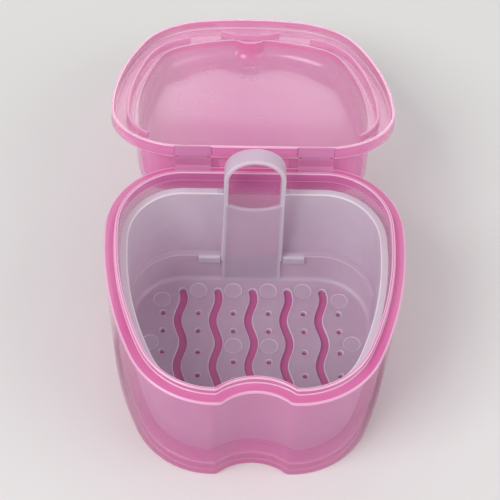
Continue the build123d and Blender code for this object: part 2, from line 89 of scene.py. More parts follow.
BASKET_WALL, BASKET_DRAFT, BACK_LEAN_HIGH, BACK_LEAN_LOW = 1.3, 0.8, 12.0, 6.5
RIM_Z, RIM_T, RIM_W, LEDGE_Z, LEDGE_W = 43.0, 1.3, 2.4, 18.5, 2.3
RIM_INSET, CAVITY_INSET = LIP_INNER + 0.4, LIP_INNER + 0.4 + RIM_W
STEP_Z, STAND_Z, FLOOR_Z = LEDGE_Z - BASKET_WALL, CUP_FLOOR_Z + 0.2, CUP_FLOOR_Z + 1.6
HANDLE_W, HANDLE_FOOT_W, HANDLE_T, HANDLE_TOP_Z = 19.7, 20.9, 1.45, 66.4
HANDLE_FOOT_Y, HANDLE_TOP_Y, HANDLE_BACK_Y = 27.8, 31.7, 37.2
WINDOW_Z, WINDOW_RISE, FLARE_R = 43.0, 2.7, 2.0
BLOCK_FROM_X, BLOCK_TO_X, BLOCK_H = 10.5, 17.7, 3.3
SLOT_PITCH, SLOT_COUNT, SLOT_W, SLOT_SWAY, SLOT_WAVE = 11.75, 5, 2.6, 1.0, 17.7
SLOT_CREST_Y, SLOT_BACK_Y, SLOT_FRONT_Y = 20.0, 22.5, -24.5
HOLE_D, EJECTOR_D, EJECTOR_DEPTH = 1.8, 5.8, 0.15
HOLE_ROWS = ((13.9, 6.9, -5.0, -12.0, -19.0), (13.9, 6.9, -1.3, -10.2, -18.0),
             (13.9, 6.9, -1.3, -10.2))
EJECTORS = ((5.9, 23.0), (17.6, 23.0), (29.8, 19.2), (5.9, 1.1), (33.4, 2.2))

# Plan outlines: half the width, the back edge, radii and places of the corner, side
# and lobe, the front bow if any, the notch's edge and radius if any, its cusps'
# radius and the least it may shrink to.
MOUTH = dict(half=47.5, back=BACK_Y, corner=25.0, side=105.0, lobe=28.2, lobe_x=12.5, lobe_y=-44.0,
             bow_y=None, notch=(NOTCH_Y, NOTCH_R), cusp=3.0, least=1.3)
SKIRT = dict(MOUTH, bow_y=-45.1, notch=None)
DOME = dict(half=38.5, back=41.3, corner=11.0, side=100.0, lobe=16.8, lobe_x=17.5, lobe_y=-32.1,
            bow_y=DOME_FRONT_Y, notch=(-33.8, 5.0), cusp=2.5, least=1.3)
BASKET = dict(MOUTH, cusp=CAVITY_INSET + 2.2)
PLUG_INSET = LIP_INNER + PLUG_GAP
PLUG = dict(MOUTH, half=47.5 - PLUG_INSET, back=BACK_Y - PLUG_INSET, corner=25.0 - PLUG_INSET,
            lobe=24.6, lobe_x=13.6, lobe_y=-34.1, bow_y=-34.6, notch=None)


# ---- outlines
def crossings(a, ra, b, rb):
    """Both points where two circles cross, least x first: by the law of cosines their
    chord crosses the line of centres at a distance t from a, and the points lie h
    to each side of it, by Pythagoras."""
    dx, dy = b[0] - a[0], b[1] - a[1]
    d = math.hypot(dx, dy)
    t = (d * d + ra * ra - rb * rb) / (2 * d)
    h = math.sqrt(ra * ra - t * t)
    mx, my = a[0] + dx * t / d, a[1] + dy * t / d
    return sorted([(mx - dy * h / d, my + dx * h / d), (mx + dy * h / d, my - dx * h / d)])


def towards(a, b, r):
    """The point at a distance r from a on the line through b: a, plus the way from a
    to b scaled to the length r."""
    d = math.hypot(b[0] - a[0], b[1] - a[1])
    return a[0] + (b[0] - a[0]) * r / d, a[1] + (b[1] - a[1]) * r / d


def around(centre, r, angles):
    """Points at distances r from a centre, by the cosine and sine of the angles."""
    return np.stack([centre[0] + r * np.cos(angles), centre[1] + r * np.sin(angles)], -1)


def arc_points(centre, p, q, n):
    """n points along the shorter arc from p to q about a centre: the angle is
    carried evenly from the one to the other."""
    a = math.atan2(p[1] - centre[1], p[0] - centre[0])
    b = math.atan2(q[1] - centre[1], q[0] - centre[0])
    b = a + (b - a + math.pi) % (2 * math.pi) - math.pi
    return around(centre, math.hypot(p[0] - centre[0], p[1] - centre[1]), np.linspace(a, b, n))


def outline(shape, inset=0.0, shift=0.0):
    """The closed outline as points, anticlockwise from the middle of the back: a
    straight back, a round corner, a bowed side and a round lobe, then a bow, a
    notch or both, mirrored. An inset shrinks each convex arc and grows the notch
    about the same centres, and a shift moves the back edge forward."""
    lobe = (shape["lobe_x"], shape["lobe_y"] + shape["lobe"])
    corner = (shape["half"] - shape["corner"], shape["back"] - shape["corner"])
    swing = shape["side"] - shape["corner"]
    side = crossings(corner, swing, lobe, shape["side"] - shape["lobe"])[0]
    corner = (side[0] + math.sqrt(swing ** 2 - (corner[1] - shift - side[1]) ** 2),
              corner[1] - shift)
    points = [(corner[0], corner[1] + shape["corner"] - inset),
              towards(side, corner, shape["side"] - inset),
              towards(side, lobe, shape["side"] - inset)]
    centres = [corner, side, lobe]
    front, front_r = lobe, shape["lobe"] - inset
    if shape["bow_y"] is not None:
        k = shape["bow_y"] + shape["lobe"]
        front = (0.0, (k * k - lobe[1] ** 2 - lobe[0] ** 2) / (2 * (k - lobe[1])))
        front_r = front[1] - shape["bow_y"] - inset
        points.append(towards(front, lobe, front_r))
        centres.append(front)
    if shape["notch"] is not None:
        notch_r = shape["notch"][1] + inset
        notch = (0.0, shape["notch"][0] - shape["notch"][1])
        cusp_r = max(shape["cusp"] - inset, shape["least"])
        cusp = crossings(front, front_r - cusp_r, notch, notch_r + cusp_r)[1]
        points += [towards(front, cusp, front_r), towards(notch, cusp, notch_r)]
        centres += [cusp, notch]
    bottom = ((0.0, notch[1] + notch_r) if shape["notch"] is not None
              else (0.0, front[1] - front_r))
    runs = [arc_points(c, p, q, 60)[:-1] for c, p, q in
            zip(centres, points, points[1:] + [bottom])]
    right = np.vstack([np.linspace((0, points[0][1]), points[0], 60)[:-1], *runs, [bottom]])
    return np.vstack([right * (-1, 1), right[-2:0:-1]])


def polar(points, centre, angles):
    """Distance from a centre to a closed outline in each direction, read along the
    straight pieces between its points."""
    rel = points - centre
    a = np.unwrap(np.arctan2(rel[:, 1], rel[:, 0]))
    r = np.hypot(rel[:, 0], rel[:, 1])
    order = np.argsort(a % (2 * np.pi))
    return np.interp(angles % (2 * np.pi), (a % (2 * np.pi))[order], r[order], period=2 * np.pi)


def even_angles(shape, centre, columns=COLUMNS):
    """Directions from a centre that are evenly spaced along an outline's length: the
    lengths of its pieces are added up, equal shares of the sum are read off, and
    each point's direction is the arctangent of its y over its x."""
    points = outline(shape)
    loop = np.vstack([points, points[:1]])
    s = np.concatenate([[0], np.cumsum(np.hypot(*np.diff(loop, axis=0).T))])
    at = np.linspace(0, s[-1], columns, endpoint=False)
    x, y = (np.interp(at, s, loop[:, i]) for i in (0, 1))
    return np.arctan2(y - centre[1], x - centre[0])


def rounded(points, radii, steps=6):
    """A profile with its corners rounded: each corner becomes an arc tangent to its
    two runs, which it meets at the radius over the tangent of half the corner's
    angle, with one more point a little way along each run to hold the shading."""
    points = np.asarray(points, float)
    out = [points[0]]
    for a, b, c, r in zip(points, points[1:], points[2:], radii):
        u, v = (a - b) / np.linalg.norm(a - b), (c - b) / np.linalg.norm(c - b)
        half = math.acos(np.clip(u @ v, -1, 1)) / 2
        if r <= 0 or half > 1.55:
            out.append(b)
            continue
        reach = min(r / math.tan(half), 0.48 * np.linalg.norm(a - b), 0.48 * np.linalg.norm(c - b))
        r = reach * math.tan(half)
        middle = b + (u + v) / np.linalg.norm(u + v) * r / math.sin(half)
        start, end = b + u * reach, b + v * reach
        e0, e1 = start - middle, end - middle
        turn = math.acos(np.clip(e0 @ e1 / r ** 2, -1, 1))
        t = np.linspace(0, 1, steps + 1)[:, None]
        out.append(b + u * reach * 1.25)
        out += list(middle + (np.sin((1 - t) * turn) * e0 + np.sin(t * turn) * e1) / math.sin(turn))
        out.append(b + v * reach * 1.25)
    out.append(points[-1])
    return np.array(out)


# ---- mesh making
def read(items, name, width=1, kind=np.float32):
    """One property of every item of a mesh, as an array."""
    values = np.empty(len(items) * width, kind)
    items.foreach_get(name, values)
    return values.reshape(-1, width) if width > 1 else values


def write(mesh, domain, **values):
    """Attributes of a mesh's points or face corners, from arrays or single numbers."""
    count = len(mesh.vertices if domain == "POINT" else mesh.loops)
    for key, value in values.items():
        if key in mesh.attributes:
            mesh.attributes.remove(mesh.attributes[key])
        value = np.ascontiguousarray(np.broadcast_to(np.asarray(value, np.float32), count))
        mesh.attributes.new(key, "FLOAT", domain).data.foreach_set("value", value)


def link(name, mesh, body, slot, material, *replaced, sharp=40, **values):
    """Put a finished mesh in the scene: smooth faces with its sharp corners kept,
    its finish, the body it rides on, if any, the CAD nodes that it stands for, and
    the values at its vertices that its finish reads."""
    mesh.validate()
    write(mesh, "POINT", **values)
    mesh.polygons.foreach_set("use_smooth", np.ones(len(mesh.polygons), bool))
    mesh.set_sharp_from_angle(angle=math.radians(sharp))
    piece = bpy.data.objects.new(name, mesh)
    bpy.context.scene.collection.objects.link(piece)
    mesh.materials.append(material)
    if body:
        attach(piece, body)
    if replaced:
        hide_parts(*replaced)
    return piece


def quads(grid):
    """Faces that join each ring of a grid of vertex numbers to the next."""
    turned = np.roll(grid, -1, axis=1)
    return np.stack([grid[:-1], turned[:-1], turned[1:], grid[1:]], -1).reshape(-1, 4).tolist()


def closed_mesh(name, points, grid, ends):
    """A closed mesh from points in millimetres, a grid's quads and the end faces. Its
    faces look outwards: they are turned when the volume that they enclose, the sum
    of each triangle's triple product, is negative."""
    mesh = bpy.data.meshes.new(name)
    mesh.from_pydata((points * MM).tolist(), [], quads(grid) + ends)
    mesh.calc_loop_triangles()
    corners = read(mesh.vertices, "co", 3)[read(mesh.loop_triangles, "vertices", 3, np.int32)]
    a, b, c = corners.transpose(1, 0, 2)
    if np.einsum("ij,ij->", a, np.cross(b, c)) < 0:
        mesh.flip_normals()
    return mesh


def lathe_mesh(name, rows):
    """A closed skin from rows of points round an axis: the first and last rows
    close in one point each."""
    count, columns = rows.shape[:2]
    grid = np.arange(columns * (count - 2)).reshape(count - 2, columns) + 1
    first = np.stack([np.zeros(columns, int), np.roll(grid[0], -1), grid[0]], -1)
    last = np.stack([np.full(columns, grid.size + 1), grid[-1], np.roll(grid[-1], -1)], -1)
    points = np.vstack([rows[0, :1], rows[1:-1].reshape(-1, 3), rows[-1, :1]])
    return closed_mesh(name, points, grid, first.tolist() + last.tolist())


def tube_mesh(name, sections):
    """A closed bar: each section is a ring of points, and the two ends are closed
    by one flat face each."""
    grid = np.arange(sections.shape[0] * sections.shape[1]).reshape(sections.shape[:2])
    return closed_mesh(name, sections.reshape(-1, 3), grid, [grid[0][::-1].tolist(), grid[-1].tolist()])


def swing(points):
    """Closed-lid points carried round the hinge line to the open rest: a plane
    rotation of y and z about the pivot."""
    a = math.radians(OPEN_ANGLE)
    out = np.array(points, float)
    dy, dz = out[..., 1] - PIVOT[0], out[..., 2] - PIVOT[1]
    out[..., 1] = PIVOT[0] + math.cos(a) * dy + math.sin(a) * dz
    out[..., 2] = PIVOT[1] - math.sin(a) * dy + math.cos(a) * dz
    return out


def ring_rows(shape, profile, shifts, centre, angles):
    """Rows of points from a profile of (inset, height): the outline at each inset,
    read in fixed directions from the centre."""
    rows = []
    for (inset, z), shift in zip(profile, shifts):
        r = polar(outline(shape, inset + HAIR, shift), centre, angles)
        rows.append(np.c_[around(centre, r, angles), np.full_like(r, z)])
    return np.array(rows)


def filled(rows, centre, shares):
    """Rows with flat discs added: the first and last ring are drawn in towards the
    centre, to each share of their distance from it."""
    middle, level = np.array([*centre, 0.0]), np.array([1, 1, 0])

    def disc(row, shares):
        """Copies of one ring, each drawn in by a share, at its own height."""
        return np.array([middle + (row - middle) * level * k + row * (1 - level) for k in shares])

    return np.concatenate([disc(rows[0], shares), rows, disc(rows[-1], shares[::-1])])


def strap_seats(rows):
    """Where the hinge straps lie: within half a strap of its middle, at the back."""
    return (np.abs(np.abs(rows[..., 0]) - HINGE_X) < LEAF_W / 2 + LEAF_FIT) & (rows[..., 1] > 30)


# ---- cup
def cup_surface():
    """The cup as one profile carried round its outline: hollow foot, outer wall,
    rounded shoulder, upright lip, mouth, inner wall and raised floor. Below the
    shoulder the wall is drawn in by the depth times the tangent of its draft, and
    the back by the depth times that of its lean."""
    centre = (0.0, 0.0)
    angles = even_angles(MOUTH, centre)
    draft, lean = math.tan(math.radians(CUP_DRAFT)), math.tan(math.radians(CUP_BACK_LEAN))
    hollow_z, middle_z, ceiling_z = CUP_FLOOR_Z - CUP_FLOOR_T, SHOULDER_Z / 2, SHOULDER_Z - SHOULDER_T

    def wall(z, inset=0.0):
        """A point of the drafted side wall, or one set in from it."""
        return inset + (SHOULDER_Z - z) * draft, z

    foot_inset = wall(0, FOOT_RING_T)[0]
    # The two points next to the straps' reach keep the end of their seats sharp.
    profile = rounded(
        [(foot_inset + 4, hollow_z), (foot_inset, hollow_z), (foot_inset, 0), wall(0),
         wall(middle_z), (0, SHOULDER_Z), (FOOT_REACH - 0.05, SHOULDER_Z), (FOOT_REACH + 0.1, SHOULDER_Z),
         (LIP_INSET, SHOULDER_Z), (LIP_INSET, LIP_TOP), (LIP_INNER, LIP_TOP), (LIP_INNER, ceiling_z),
         wall(ceiling_z, CUP_WALL), wall(middle_z, CUP_WALL), wall(CUP_FLOOR_Z, CUP_WALL), (9, CUP_FLOOR_Z)],
        [0.6, 0.3, FOOT_R, 0, SHOULDER_R, 0, 0, 0.25, LIP_CHAMFER, 0.35, 0.3, 0.8, 0, 1.1], 7)
    z = profile[:, 1]
    foot = np.arange(len(z)) < np.argmin(z)
    fall = SHOULDER_Z - np.where(foot, 0, np.minimum(z, SHOULDER_Z))
    rows = ring_rows(MOUTH, profile, fall * (lean - draft), centre, angles)
    seat = strap_seats(rows) & (profile[:, :1] < FOOT_REACH) & (rows[..., 2] > LEAF_LOW)
    rows[..., 2] = np.where(seat, LEAF_LOW, rows[..., 2])
    return filled(rows, centre, (0, 0.25, 0.5, 0.75, 0.92))


def edge_glow(z, *bands):
    """How strongly light gathers at a height, painted as a glow so that rims and feet carry
    the deeper colour: the sum over (height, width) bands of e to the power of minus the
    distance over the width, at most 1."""
    return np.clip(sum(np.exp(-np.abs(z - at) / width) for at, width in bands), 0, 1)


def edge_light(rows):
    """How strongly a painted highlight line shows along an edge, at every point: how sharply
    the rows turn there, as the angle between the runs before and after, over their mean length."""
    run = np.diff(rows, axis=0)
    long = np.linalg.norm(run, axis=2)
    way = run / np.maximum(long, 1e-9)[..., None]
    turn = np.arccos(np.clip((way[1:] * way[:-1]).sum(2), -1, 1))
    bend = turn / np.maximum((long[1:] + long[:-1]) / 2, 0.02)
    return np.pad(np.clip((bend - 0.5) / 1.1, 0, 1), ((1, 1), (0, 0)))


def skin_values(values):
    """Values of a grid of rows in the vertex order of lathe_mesh."""
    return np.concatenate([values[0, :1], values[1:-1].ravel(), values[-1, :1]])


# ---- lid
INSETS = np.arange(-1.0, 11.01, 0.5)  # the insets that a table of distances holds


def soft_max(a, b, k=0.35):
    """The larger of two values, blended over a width of about k: k times the
    logarithm of the sum of their powers of e."""
    return k * np.logaddexp(a / k, b / k)


def dome_table(centre, angles):
    """Distance to the dome's outline for a run of insets, with the handle pocket's
    three sides merged softly into the back: a straight side's distance is its
    place over the sine or cosine of the direction."""
    out = []
    for e in INSETS:
        r = polar(outline(DOME, e), centre, angles)
        with np.errstate(divide="ignore", invalid="ignore"):
            back = np.where(np.sin(angles) > 0.3, (POCKET_Y - e - centre[1]) / np.sin(angles), 0)
            side = (POCKET_W / 2 - e) / np.maximum(np.abs(np.cos(angles)), 1e-6)
        pocket = -soft_max(-back, -np.minimum(side, 500), 0.3)
        out.append(np.where(np.sin(angles) > 0.3, soft_max(r, pocket), r))
    return np.array(out)


def from_table(table, inset):
    """Read a table of distances at any inset, along straight lines between rows."""
    at = np.clip((inset + HAIR - INSETS[0]) / (INSETS[1] - INSETS[0]), 0, len(INSETS) - 1.001)
    low = at.astype(int)
    share = at - low
    columns = np.broadcast_to(np.arange(table.shape[1]), at.shape)
    return table[low, columns] * (1 - share) + table[low + 1, columns] * share


def lid_surface():
    """The closed lid as one skin: sloping ceiling, inner wall, flange, skirt and its
    leaf seats, flange top, dome wall and sloping, rounded top. Dome rows lie between
    the flange and the sloping plane: inset grows with height by the draft, then by
    a quarter circle over the top edge."""
    centre = (0.0, 2.0)
    angles = even_angles(SKIRT, centre)
    dome = dome_table(centre, angles)
    skirt = np.array([polar(outline(SKIRT, e), centre, angles) for e in INSETS])
    slope, draft = math.tan(math.radians(DOME_SLOPE)), math.tan(math.radians(DOME_DRAFT))

    def top(y, drop):
        """Height of the sloping plane, lowered by a drop."""
        return FLANGE_Z + DOME_FRONT_H + slope * (y - DOME_FRONT_Y) - drop

    def dome_rows(inset, drop, edge_r, low):
        """Wall rows from a low height up to the edge, then the edge's arc."""
        v = np.linspace(0, 1, 9)[:, None]
        t = np.linspace(0, math.pi / 2, 11)[1:, None]
        z = np.full((19, len(angles)), low + 5.0)
        for _ in range(4):
            e = inset + (np.vstack([z[:9], np.repeat(z[8:9], 10, 0)]) - FLANGE_Z) * draft
            e[9:] += edge_r * (1 - np.cos(t))
            r = from_table(dome, e)
            y = centre[1] + r * np.sin(angles)
            plane = top(y, drop)
            z = np.vstack([low + v * (plane[:9] - edge_r - low), plane[9:] - edge_r * (1 - np.sin(t))])
        return r, z

    def flat(table, inset, z):
        """One level row at an inset."""
        return (from_table(table, np.full((1, len(angles)), float(inset))),
                np.full((1, len(angles)), float(z)))

    def between(a, b, shares):
        """Rows that lead straight from one row to another, by shares of the way."""
        return [(a[0] * (1 - share) + b[0] * share, a[1]) for share in shares]

    def cap(rows, drop):
        """Rows that carry the sloping plane in to the middle."""
        r = rows[0][-1:] * np.array((0.94, 0.8, 0.6, 0.4, 0.2, 0))[:, None]
        return r, top(centre[1] + r * np.sin(angles), drop)

    thick = LID_WALL / math.cos(math.radians(DOME_SLOPE))
    inner_r, outer_r = 0.35, 0.5  # roundings at the dome's foot, inside and outside
    inner = dome_rows(LID_WALL, thick, DOME_EDGE_R - LID_WALL, FLANGE_UNDER + inner_r)
    outer = dome_rows(0.0, 0.0, DOME_EDGE_R, FLANGE_Z + outer_r)
    parts = [tuple(a[::-1] for a in cap(inner, thick)), tuple(a[::-1] for a in inner)]
    parts += [flat(dome, LID_WALL - inner_r * (1 - math.cos(t)), FLANGE_UNDER + inner_r * (1 - math.sin(t)))
              for t in np.linspace(0.25, 1, 4) * math.pi / 2]
    parts += between(flat(dome, LID_WALL - inner_r, FLANGE_UNDER),
                     flat(skirt, SKIRT_T + 0.3, FLANGE_UNDER), (0.2, 0.5, 0.8, 0.97))
    profile = rounded([(SKIRT_T + 1, FLANGE_UNDER), (SKIRT_T, FLANGE_UNDER), (SKIRT_T, SKIRT_LOW + 0.35),
                       (SKIRT_T - 0.3, SKIRT_LOW), (0, SKIRT_LOW), (0, FLANGE_Z), (1.6, FLANGE_Z)],
                      [0.3, 0, 0, 0.25, SKIRT_R], 6)
    parts += [flat(skirt, e, z) for e, z in profile[1:]]
    skirt_first = sum(len(p[0]) for p in parts) - len(profile) + 1
    skirt_last = sum(len(p[0]) for p in parts)
    parts += between(flat(skirt, 1.6, FLANGE_Z), flat(dome, -0.6, FLANGE_Z), (0.03, 0.25, 0.6, 0.95))
    parts += [flat(dome, outer_r * (math.sin(t) - 1), FLANGE_Z + outer_r * (1 - math.cos(t)))
              for t in np.linspace(0, 0.8, 4) * math.pi / 2]
    parts += [outer, cap(outer, 0.0)]
    r, z = (np.vstack([p[i] for p in parts]) for i in (0, 1))
    rows = np.concatenate([around(centre, r, angles), z[..., None]], -1)
    number = np.arange(len(rows))[:, None]
    seat = strap_seats(rows) & (number >= skirt_first) & (number < skirt_last)
    limit = BACK_Y - LEAF_T - np.maximum(0, rows[..., 2] - (LEAF_TOP + 0.3))
    rows[..., 1] = np.where(seat, np.minimum(rows[..., 1], limit), rows[..., 1])
    return rows


def gate_mark():
    """The round mark inside the dome, as a plug to cut out: rings in the ceiling's
    sloping plane, wider below it than above, and the mark's centre."""
    a = math.radians(DOME_SLOPE)
    rise = DOME_FRONT_H + math.tan(a) * (GATE_Y - DOME_FRONT_Y) - LID_WALL / math.cos(a)
    centre = np.array((0.0, GATE_Y, FLANGE_Z + rise))
    along, up = np.array((0.0, math.cos(a), math.sin(a))), np.array((0.0, -math.sin(a), math.cos(a)))
    t = np.linspace(0, 2 * np.pi, 48, endpoint=False)[:, None]
    rings = [centre + r * (np.cos(t) * (1.0, 0.0, 0.0) + np.sin(t) * along) + w * up
             for r, w in ((GATE_D / 2 + 0.5, -0.5), (GATE_D / 2 - 0.25, GATE_DEPTH))]
    return np.array(rings), centre


def oblong(w, h, edge, count, squareness=3):
    """A rounded oblong about the middle, w and h to each side: a circle of the
    edge's radius, pushed apart by the cosine and sine of the angle, magnified and
    held within one."""
    t = np.linspace(0, 2 * np.pi, count, endpoint=False)
    return [np.clip(f * squareness, -1, 1) * (size - edge) + edge * f
            for f, size in ((np.cos(t), w), (np.sin(t), h))]


def bar_along(path, inward, low, high, thickness, edge=0.3):
    """A bar of rounded oblong section carried along a plan path: each section
    stands across the path, its outer face on it."""
    w, h = thickness / 2, (high - low) / 2
    across, up = oblong(w, h, edge, 20)
    plan = path[:, None, :] + inward[:, None, :] * (w + across)[None, :, None]
    z = np.broadcast_to(low + h + up, plan.shape[:2])
    return np.concatenate([plan, z[..., None]], -1)


def left_of(path):
    """Directions of length 1 to the left of a closed path: at each point, square to
    the line between its neighbours."""
    along = np.roll(path, -1, axis=0) - np.roll(path, 1, axis=0)
    left = np.stack([-along[:, 1], along[:, 0]], 1)
    return left / np.linalg.norm(left, axis=1, keepdims=True)


def stretch(shape, inset, keep):
    """The part of an outline where keep(x, y) holds, with its inward normals."""
    p = outline(shape, inset)
    inward = left_of(p)
    held = keep(p[:, 0], p[:, 1])
    first = int(np.argmax(held & ~np.roll(held, 1)))
    order = np.roll(np.arange(len(p)), -first)
    order = order[held[order]]
    return p[order], inward[order]


# ---- basket
def basket_shift(z, below):
    """How far the back wall stands forward: it leans in from the rim to the step,
    is set forward by the step, and leans less below it."""
    high, low = (math.tan(math.radians(lean)) for lean in (BACK_LEAN_HIGH, BACK_LEAN_LOW))
    return np.where(below, (RIM_Z - LEDGE_Z) * high + LEDGE_W + (LEDGE_Z - z) * low,
                    (RIM_Z - np.maximum(z, LEDGE_Z)) * high)


def basket_shell():
    """The basket as one profile carried round its outline: underside, outer wall,
    step, rim, inner wall, step and floor, drawn in below the rim by the depth times
    the tangent of the draft. Beside it, how strongly a painted highlight shows at each
    point: the sharp turns, and the step's edge by how far the step stands out."""
    centre = (0.0, -2.0)
    angles = even_angles(BASKET, centre)
    draft, outer, inner = math.tan(math.radians(BASKET_DRAFT)), CAVITY_INSET - BASKET_WALL, CAVITY_INSET
    beside, flat_from = 0.4, 12  # extra rows' distance from the step's edge; inset where the floor is flat

    def at(inset, z):
        """A point at an inset from the rim's line, drawn in further by the draft."""
        return inset + (RIM_Z - z) * draft, z

    low_out = rounded([at(flat_from, STAND_Z), at(outer, STAND_Z), at(outer, STEP_Z)], [1.7], 7)
    high_out = rounded([at(outer, STEP_Z), at(outer, RIM_Z - RIM_T), (RIM_INSET, RIM_Z - RIM_T),
                        (RIM_INSET, RIM_Z), (inner, RIM_Z), at(inner, LEDGE_Z)], [0.25, 0.2, 0.4, 0.35], 5)
    low_in = rounded([at(inner, LEDGE_Z), at(inner, FLOOR_Z), at(flat_from, FLOOR_Z)], [1.3], 7)
    # One more row each side of the step's edge keeps its painted highlight line thin.
    low_in = np.vstack([low_in[:1], low_in[:1], [at(inner, LEDGE_Z - beside)], low_in[1:]])
    profile = np.vstack([low_out, high_out, low_in])
    below = np.zeros(len(profile), bool)
    below[:len(low_out)] = below[-len(low_in):] = True
    z = profile[:, 1]
    shifts = basket_shift(z, below) - (RIM_Z - z) * draft
    edge = len(low_out) + len(high_out) + 1
    shifts[edge - 1] -= beside
    rows = ring_rows(BASKET, profile, shifts, centre, angles)
    light = edge_light(rows)
    light[edge - 3:edge + 2] = 0
    light[edge] = np.clip(np.linalg.norm(rows[edge] - rows[edge - 2], axis=1) / 1.5, 0, 1)
    shares = (0, 0.3, 0.6, 0.9)
    return filled(rows, centre, shares), np.pad(0.6 * light, ((len(shares), len(shares)), (0, 0)))


def prism_mesh(outlines, low, high, flare):
    """Upright prisms from plan outlines, each closed by a flat face at both ends. From
    the flare's height up a prism widens to its width, and so cuts a chamfer."""
    points, faces, base = [], [], 0
    for plan in outlines:
        ahead = np.roll(plan, -1, axis=0)
        if (plan[:, 0] * ahead[:, 1] - plan[:, 1] * ahead[:, 0]).sum() < 0:
            plan = plan[::-1]
        outward = -left_of(plan)
        points += [np.c_[plan + grown * outward, np.full(len(plan), z)]
                   for z, grown in ((low, 0.0), (flare[0], 0.0), (high, flare[1]))]
        grid = base + np.arange(3 * len(plan)).reshape(3, -1)
        faces += quads(grid) + [grid[0, ::-1].tolist(), grid[-1].tolist()]
        base += grid.size
    mesh = bpy.data.meshes.new("cutter")
    mesh.from_pydata((np.vstack(points) * MM).tolist(), [], faces)
    return mesh


def wavy_outline(x):
    """Plan of a slot: half the width either side of a cosine centre line, measured
    square to it, with round ends."""
    y = np.linspace(SLOT_BACK_Y, SLOT_FRONT_Y, 95)
    k = 2 * np.pi / SLOT_WAVE
    sway = x + SLOT_SWAY * np.cos(k * (y - SLOT_CREST_Y))
    slope = -SLOT_SWAY * k * np.sin(k * (y - SLOT_CREST_Y))
    n = np.stack([np.ones_like(slope), -slope], 1) / np.hypot(1, slope)[:, None]
    line, half = np.stack([sway, y], 1), SLOT_W / 2
    t = np.linspace(0, np.pi, 13)[1:-1, None]

    def end(i, sign):
        """A half circle about one end of the centre line."""
        along = np.array([n[i, 1], -n[i, 0]]) * sign
        return line[i] + half * (np.cos(t) * n[i] * sign + np.sin(t) * along)

    return np.vstack([line + half * n, end(-1, 1), (line - half * n)[::-1], end(0, -1)])


def cut(piece, *cutters):
    """Take the cutters' meshes out of a piece, one exact difference after another,
    and keep the result as its mesh."""
    made = []
    for mesh in cutters:
        cutter = bpy.data.objects.new("cutter", mesh)
        bpy.context.scene.collection.objects.link(cutter)
        made.append(cutter)
        modifier = piece.modifiers.new("cut", "BOOLEAN")
        modifier.operation, modifier.solver, modifier.object = "DIFFERENCE", "EXACT", cutter
    graph = bpy.context.evaluated_depsgraph_get()
    mesh = bpy.data.meshes.new_from_object(piece.evaluated_get(graph))
    piece.modifiers.clear()
    piece.data = mesh
    mesh.polygons.foreach_set("material_index", np.zeros(len(mesh.polygons), np.int32))
    for cutter in made:
        bpy.data.objects.remove(cutter)
    return mesh


def basket_glow(mesh):
    """Painted light where light gathers at the rim, in the outer wall and in the cut edges
    of the slots, holes and round marks: each face corner takes the rim's painted glow at
    its height, and a face takes a higher one where it looks outwards, where it is a mark,
    and where it isn't level in the middle of the floor. The step's edge is the lightest
    painted highlight line."""
    x, _, z = read(mesh.vertices, "co", 3).T / MM
    at = read(mesh.loops, "vertex_index", kind=np.int32)
    corner = edge_glow(z, (RIM_Z, 1.2))[at]
    centre, normal = read(mesh.polygons, "center", 3) / MM, read(mesh.polygons, "normal", 3)
    sides = read(mesh.polygons, "loop_total", kind=np.int32)
    # Faces that look outwards take a lighter painted glow than the inner faces.
    outside = (normal[:, :2] * centre[:, :2]).sum(1) > 0.25 * np.hypot(*centre[:, :2].T)
    corner = np.maximum(corner, 0.75 * np.repeat(outside, sides))
    marks = np.array([(s * a, b) for a, b in EJECTORS for s in (-1, 1)])
    gap = np.hypot(*(centre[:, None, :2] - marks).transpose(2, 0, 1)).min(1)
    on_floor = np.abs(centre[:, 2] - FLOOR_Z) < 0.2
    mark, level = (gap < EJECTOR_D / 2 - 0.05) & on_floor, np.abs(normal[:, 2]) > 0.9
    cut_edge = ((np.abs(centre[:, 0]) < 31) & (centre[:, 1] > -27) & (centre[:, 1] < 25)
                & (centre[:, 2] < FLOOR_Z + 0.01) & ~level)
    ring = (gap < EJECTOR_D / 2 + 0.15) & on_floor & (np.abs(normal[:, 2]) < 0.97)
    upright = np.abs(normal[:, 2]) < 0.3
    # Painted light: a bright ring round each mark, light on the cut edges' chamfers, less on their upright
    # walls, and a little on the marks' floors.
    shade = np.where(ring, 0.75, np.where(cut_edge, np.where(upright, 0.3, 0.9), 0.12 * mark))
    corner = np.maximum(corner, np.repeat(shade, sides))
    # The painted highlight lines are kept above the floor and away from the handle's middle.
    light = np.where((z > 10) & (np.abs(x) > 9.5), read(mesh.attributes["light"].data, "value"), 0)
    write(mesh, "CORNER", glow=corner, light=light[at])


def handle_front(z, depth=0.0):
    """The handle's front face leans back as it rises, by a steady share of the
    height; a depth is counted back from it."""
    lean = (HANDLE_TOP_Y - HANDLE_FOOT_Y) / (HANDLE_TOP_Z - STAND_Z)
    return HANDLE_FOOT_Y + (z - STAND_Z) * lean + depth


def channel_mesh():
    """The space behind the handle's plate, cut out of the back wall and rim: its
    side view, from the step upwards, carried from leg to leg."""
    far, half = 50.0, 9.3  # beyond the back wall and rim; inside the legs
    z = np.array([STEP_Z, far])
    side = np.r_[np.c_[handle_front(z, HANDLE_T / 2 + 0.025), z], [(far, far), (far, STEP_Z)]]
    return tube_mesh("channel", np.stack([np.c_[np.full(4, x), side] for x in (-half, half)]))


# Heights and places of the legs' back faces: step, back wall, rim, slope to the arch.
LEG_BACKS = ((17.0, 18.4, 41.2, 42.4, RIM_Z, 45.0), (29.9, 32.2, 37.1, 38.8, 38.8, HANDLE_BACK_Y))


